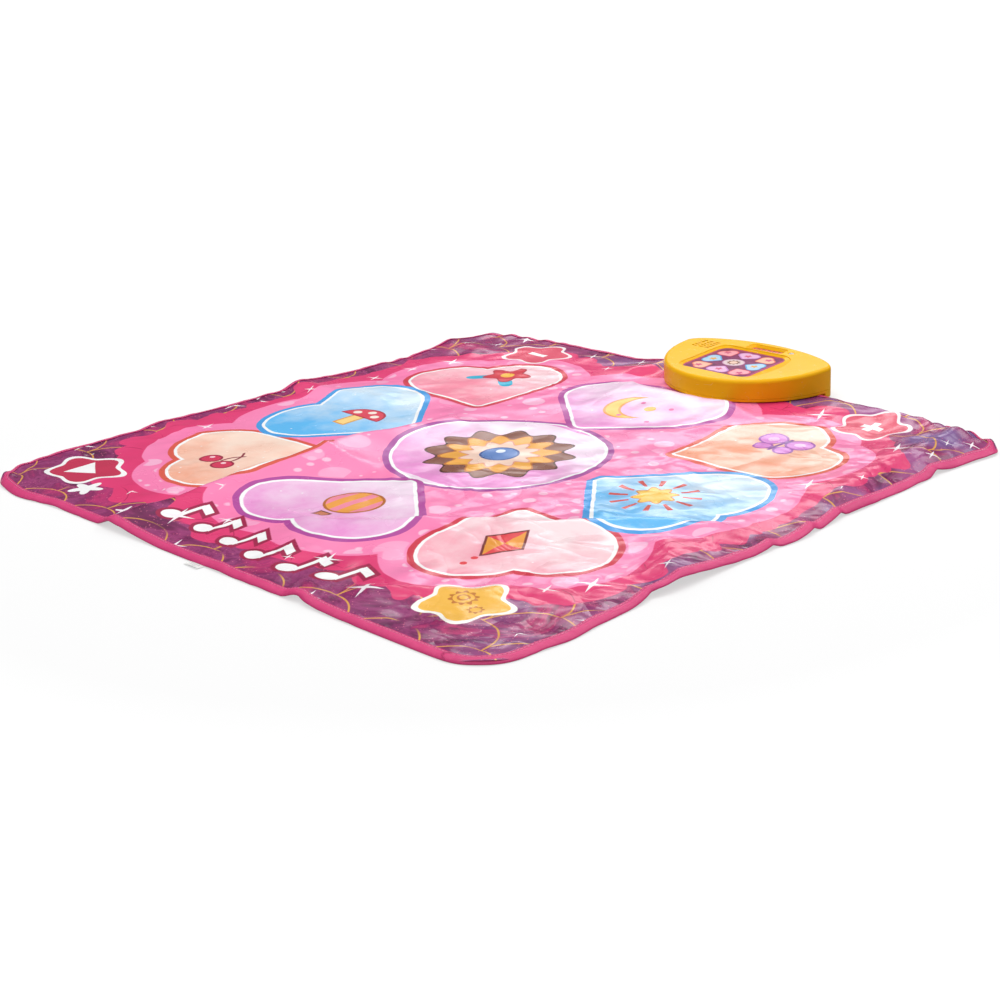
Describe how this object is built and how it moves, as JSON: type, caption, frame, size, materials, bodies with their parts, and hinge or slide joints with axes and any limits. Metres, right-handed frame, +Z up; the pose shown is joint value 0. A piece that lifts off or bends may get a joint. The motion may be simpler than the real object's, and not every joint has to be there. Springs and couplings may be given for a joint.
{
  "type": "electronic dance mat",
  "caption": "Square padded play mat with foot-pressed heart pads and a control box with lights and speaker on its back edge.",
  "frame": {"origin": "on the floor under the middle of the mat, on the underside of its bottom cover", "axes": "+X along the mat's front edge to the right, +Y from its front edge to the back edge with the control box, +Z up"},
  "size_m": [0.9079, 0.9576, 0.0447],
  "materials": {
    "printed_cover": "glossy laminated print",
    "binding": "smooth woven tape",
    "backing": "matte non-slip cloth",
    "film": "clear polyester film",
    "foam": "soft closed-cell foam",
    "contact_ink": "printed carbon ink on film",
    "label": "woven label",
    "housing": "satin moulded plastic",
    "display_print": "glossy printed lens",
    "slot_print": "glossy printed lens",
    "light_lens": "diffusing plastic",
    "white_plastic": "moulded plastic",
    "board": "coated circuit board",
    "black_plastic": "moulded plastic",
    "speaker_cone": "treated paper",
    "rubber": "matte rubber",
    "battery": "wrapped steel can",
    "steel": "plated steel"
  },
  "bodies": {
    "root": {"bottom_cover": "backing", "lower_circuit_film": "film", "foam_spacer": "foam", "upper_circuit_film": "film", "top_cover": "printed_cover", "edge_binding": "binding", "care_label": "label", "mat_clamp_bar": "black_plastic", "top_housing": "housing", "bottom_housing": "housing", "rubber_foot_left": "rubber", "rubber_foot_right": "rubber", "display_lens": "display_print", "light_cell_frame": "white_plastic", "main_board": "board", "slot_window_lens": "slot_print", "slot_light_board": "board", "power_light_lens": "light_lens", "speaker_driver": "black_plastic", "speaker_cone": "speaker_cone", "battery_contact_left": "steel", "battery_contact_right": "steel", "ribbon_connector": "white_plastic", "ribbon_tail": "film", "clamp_screw_1": "steel", "clamp_screw_2": "steel", "clamp_screw_3": "steel", "housing_screw_1": "steel", "battery_1": "battery", "housing_screw_2": "steel", "battery_2": "battery", "housing_screw_3": "steel", "battery_3": "battery", "housing_screw_4": "steel", "battery_4": "battery", "display_light_front_left": "light_lens", "display_light_front_middle": "light_lens", "display_light_front_right": "light_lens", "display_light_centre_left": "light_lens", "display_light_centre_middle": "light_lens", "display_light_centre_right": "light_lens", "display_light_back_left": "light_lens", "display_light_back_middle": "light_lens", "display_light_back_right": "light_lens"},
    "pad_front_left": {"pad_front_left_contact": "contact_ink"},
    "pad_front_middle": {"pad_front_middle_contact": "contact_ink"},
    "pad_front_right": {"pad_front_right_contact": "contact_ink"},
    "pad_centre_left": {"pad_centre_left_contact": "contact_ink"},
    "pad_centre_middle": {"pad_centre_middle_contact": "contact_ink"},
    "pad_centre_right": {"pad_centre_right_contact": "contact_ink"},
    "pad_back_left": {"pad_back_left_contact": "contact_ink"},
    "pad_back_middle": {"pad_back_middle_contact": "contact_ink"},
    "pad_back_right": {"pad_back_right_contact": "contact_ink"},
    "key_start": {"key_start_contact": "contact_ink"},
    "key_mode": {"key_mode_contact": "contact_ink"},
    "key_volume_down": {"key_volume_down_contact": "contact_ink"},
    "key_volume_up": {"key_volume_up_contact": "contact_ink"},
    "battery_door": {"battery_door": "housing", "battery_door_screw": "steel"}
  },
  "joints": [
    {"name": "pad_front_left_press", "type": "slide", "parent": "root", "child": "pad_front_left", "axis": [0, 0, -1], "range_m": [0, 0.001], "stiffness_N_per_m": 3000},
    {"name": "pad_front_middle_press", "type": "slide", "parent": "root", "child": "pad_front_middle", "axis": [0, 0, -1], "range_m": [0, 0.001], "stiffness_N_per_m": 3000},
    {"name": "pad_front_right_press", "type": "slide", "parent": "root", "child": "pad_front_right", "axis": [0, 0, -1], "range_m": [0, 0.001], "stiffness_N_per_m": 3000},
    {"name": "pad_centre_left_press", "type": "slide", "parent": "root", "child": "pad_centre_left", "axis": [0, 0, -1], "range_m": [0, 0.001], "stiffness_N_per_m": 3000},
    {"name": "pad_centre_middle_press", "type": "slide", "parent": "root", "child": "pad_centre_middle", "axis": [0, 0, -1], "range_m": [0, 0.001], "stiffness_N_per_m": 3000},
    {"name": "pad_centre_right_press", "type": "slide", "parent": "root", "child": "pad_centre_right", "axis": [0, 0, -1], "range_m": [0, 0.001], "stiffness_N_per_m": 3000},
    {"name": "pad_back_left_press", "type": "slide", "parent": "root", "child": "pad_back_left", "axis": [0, 0, -1], "range_m": [0, 0.001], "stiffness_N_per_m": 3000},
    {"name": "pad_back_middle_press", "type": "slide", "parent": "root", "child": "pad_back_middle", "axis": [0, 0, -1], "range_m": [0, 0.001], "stiffness_N_per_m": 3000},
    {"name": "pad_back_right_press", "type": "slide", "parent": "root", "child": "pad_back_right", "axis": [0, 0, -1], "range_m": [0, 0.001], "stiffness_N_per_m": 3000},
    {"name": "key_start_press", "type": "slide", "parent": "root", "child": "key_start", "axis": [0, 0, -1], "range_m": [0, 0.001], "stiffness_N_per_m": 3000},
    {"name": "key_mode_press", "type": "slide", "parent": "root", "child": "key_mode", "axis": [0, 0, -1], "range_m": [0, 0.001], "stiffness_N_per_m": 3000},
    {"name": "key_volume_down_press", "type": "slide", "parent": "root", "child": "key_volume_down", "axis": [0, 0, -1], "range_m": [0, 0.001], "stiffness_N_per_m": 3000},
    {"name": "key_volume_up_press", "type": "slide", "parent": "root", "child": "key_volume_up", "axis": [0, 0, -1], "range_m": [0, 0.001], "stiffness_N_per_m": 3000},
    {"name": "battery_door_lift", "type": "slide", "parent": "root", "child": "battery_door", "axis": [0, 0, -1], "range_m": [0, 0.02]}
  ]
}
